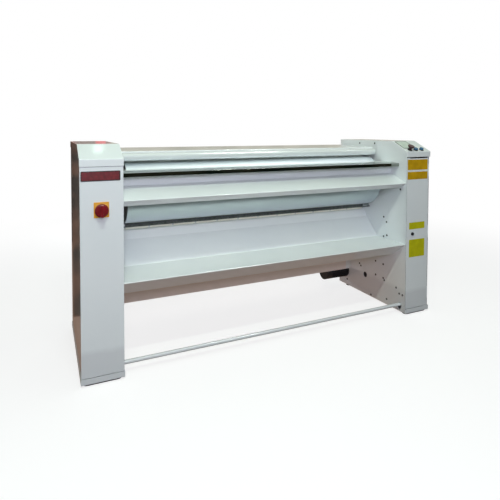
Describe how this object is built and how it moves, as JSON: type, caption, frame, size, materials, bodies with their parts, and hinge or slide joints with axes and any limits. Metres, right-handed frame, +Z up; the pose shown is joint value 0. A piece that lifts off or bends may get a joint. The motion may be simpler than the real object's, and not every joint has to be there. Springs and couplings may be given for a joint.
{
  "type": "flatwork ironer",
  "caption": "Flatwork ironer with two sheet-metal towers, a long heated roll pressed by belts, a front feed table with finger guard, a linen tray and a foot bar.",
  "frame": {"origin": "middle of the footprint, on the floor", "axes": "+X along the roll to the operator's right, +Y from the front to the rear, +Z up"},
  "size_m": [2.08, 0.756, 1.082],
  "materials": {
    "white_paint": "satin powder coat",
    "grey_frame": "satin powder coat",
    "rear_panel": "satin powder coat",
    "roll_steel": "satin ground",
    "mirror_steel": "mirror polished",
    "bright_steel": "turned",
    "dark_steel": "oiled",
    "cast_grey": "painted cast iron",
    "motor_black": "semi gloss",
    "belt_cloth": "woven needle felt",
    "rubber": "matt",
    "red_plastic": "gloss",
    "blue_plastic": "gloss",
    "yellow_plate": "satin",
    "name_plate": "satin",
    "label_plate": "satin",
    "black_plastic": "satin",
    "box_grey": "satin",
    "display_glass": "gloss"
  },
  "bodies": {
    "machine": {"base_trays": "white_paint", "button_bezels": "black_plastic", "control_boxes": "box_grey", "cross_beams": "grey_frame", "display_window": "display_glass", "drive_belt": "rubber", "drive_chain": "dark_steel", "exhaust_collar": "bright_steel", "exit_strip": "mirror_steel", "fan_housing": "bright_steel", "feed_apron": "white_paint", "feed_bar": "mirror_steel", "feed_table": "white_paint", "foot_bar_springs": "bright_steel", "foot_pads": "rubber", "gear_reducer": "cast_grey", "heater_bank": "bright_steel", "idler_bracket": "bright_steel", "ironing_belts": "belt_cloth", "isolator_body": "black_plastic", "isolator_plate": "yellow_plate", "left_front_panel": "white_paint", "left_side_frame": "white_paint", "left_top_cap": "white_paint", "levelling_feet": "bright_steel", "linen_tray": "white_paint", "mains_gland": "black_plastic", "motor": "motor_black", "nameplate": "name_plate", "outer_skins": "white_paint", "rear_lower_panel": "rear_panel", "rear_upper_panel": "white_paint", "right_side_frame": "white_paint", "right_top_cap": "white_paint", "roll_bearings": "cast_grey", "roller_bearings": "cast_grey", "top_cover": "white_paint", "tower_rear_panels": "white_paint", "wall_screws": "bright_steel"},
    "roll": {"roll_shell": "roll_steel", "roll_journals": "bright_steel", "roll_sprocket": "dark_steel"},
    "top_front_roller": {"belt_roller_top_front": "bright_steel"},
    "bottom_front_roller": {"belt_roller_bottom_front": "bright_steel"},
    "bottom_rear_roller": {"belt_roller_bottom_rear": "bright_steel"},
    "top_rear_roller": {"belt_roller_top_rear": "bright_steel"},
    "reducer_output": {"reducer_sprocket": "dark_steel"},
    "reducer_input": {"reducer_pulley": "dark_steel"},
    "motor_rotor": {"motor_pulley": "dark_steel"},
    "idler": {"idler_pulley": "bright_steel"},
    "fan_rotor": {"fan_impeller": "bright_steel"},
    "finger_guard": {"finger_guard": "white_paint"},
    "foot_bar": {"foot_bar": "white_paint"},
    "emergency_stop": {"emergency_stop": "red_plastic"},
    "start_button": {"start_button": "blue_plastic"},
    "stop_button": {"stop_button": "blue_plastic"},
    "isolator_knob": {"isolator_knob": "red_plastic"},
    "service_door": {"service_door": "white_paint", "door_plates": "label_plate"},
    "door_lock": {"door_lock": "black_plastic"}
  },
  "joints": [
    {"name": "roll_spin", "type": "hinge", "parent": "machine", "child": "roll", "pos_m": [0, 0, 0.818], "axis": [-1, 0, 0], "continuous": true},
    {"name": "top_front_roller_spin", "type": "hinge", "parent": "machine", "child": "top_front_roller", "pos_m": [0, 0.03062, 1.00298], "axis": [-1, 0, 0], "continuous": true},
    {"name": "bottom_front_roller_spin", "type": "hinge", "parent": "machine", "child": "bottom_front_roller", "pos_m": [0, 0.0303, 0.63499], "axis": [-1, 0, 0], "continuous": true},
    {"name": "bottom_rear_roller_spin", "type": "hinge", "parent": "machine", "child": "bottom_rear_roller", "pos_m": [0, 0.25, 0.69], "axis": [-1, 0, 0], "continuous": true},
    {"name": "top_rear_roller_spin", "type": "hinge", "parent": "machine", "child": "top_rear_roller", "pos_m": [0, 0.25, 0.985], "axis": [-1, 0, 0], "continuous": true},
    {"name": "reducer_output_spin", "type": "hinge", "parent": "machine", "child": "reducer_output", "pos_m": [0, -0.125, 0.245], "axis": [-1, 0, 0], "continuous": true},
    {"name": "reducer_input_spin", "type": "hinge", "parent": "machine", "child": "reducer_input", "pos_m": [0, -0.065, 0.19], "axis": [-1, 0, 0], "continuous": true},
    {"name": "motor_spin", "type": "hinge", "parent": "machine", "child": "motor_rotor", "pos_m": [0, 0.278, 0.118], "axis": [-1, 0, 0], "continuous": true},
    {"name": "idler_spin", "type": "hinge", "parent": "machine", "child": "idler", "pos_m": [0, 0.046, 0.143], "axis": [-1, 0, 0], "continuous": true},
    {"name": "fan_spin", "type": "hinge", "parent": "machine", "child": "fan_rotor", "pos_m": [0, 0.18, 0.84], "axis": [-1, 0, 0], "continuous": true},
    {"name": "finger_guard_tilt", "type": "hinge", "parent": "machine", "child": "finger_guard", "pos_m": [0, -0.04, 1.02], "axis": [1, 0, 0], "range_deg": [0, 20]},
    {"name": "foot_bar_press", "type": "hinge", "parent": "machine", "child": "foot_bar", "pos_m": [0, -0.089, 0.075], "axis": [1, 0, 0], "range_deg": [0, 5.5], "stiffness_Nm_per_rad": 30, "springref_deg": -28.65, "deforming": ["foot_bar_springs"]},
    {"name": "emergency_stop_press", "type": "slide", "parent": "machine", "child": "emergency_stop", "axis": [0, 0.431, -0.9024], "range_m": [0, 0.006]},
    {"name": "start_button_press", "type": "slide", "parent": "machine", "child": "start_button", "axis": [0, 0.431, -0.9024], "range_m": [0, 0.004], "stiffness_N_per_m": 300, "springref_m": -0.004},
    {"name": "stop_button_press", "type": "slide", "parent": "machine", "child": "stop_button", "axis": [0, 0.431, -0.9024], "range_m": [0, 0.004], "stiffness_N_per_m": 300, "springref_m": -0.004},
    {"name": "isolator_turn", "type": "hinge", "parent": "machine", "child": "isolator_knob", "pos_m": [-0.947, -0.34, 0.789], "axis": [0, 1, 0], "range_deg": [0, 90]},
    {"name": "service_door_swing", "type": "hinge", "parent": "machine", "child": "service_door", "pos_m": [1.0275, -0.337, 0.51], "axis": [0, 0, 1], "range_deg": [0, 100]},
    {"name": "door_lock_turn", "type": "hinge", "parent": "service_door", "child": "door_lock", "pos_m": [0.898, -0.337, 0.506], "axis": [0, -1, 0], "range_deg": [0, 90]}
  ],
  "couplings": [
    {"joint": "top_front_roller_spin", "follows": "roll_spin", "ratio": -7.3864},
    {"joint": "bottom_front_roller_spin", "follows": "roll_spin", "ratio": -8.125},
    {"joint": "bottom_rear_roller_spin", "follows": "roll_spin", "ratio": -6.5},
    {"joint": "top_rear_roller_spin", "follows": "roll_spin", "ratio": -6.5},
    {"joint": "reducer_output_spin", "follows": "roll_spin", "ratio": 2},
    {"joint": "reducer_input_spin", "follows": "roll_spin", "ratio": 40},
    {"joint": "motor_spin", "follows": "roll_spin", "ratio": 84.79},
    {"joint": "idler_spin", "follows": "roll_spin", "ratio": 75.408}
  ]
}
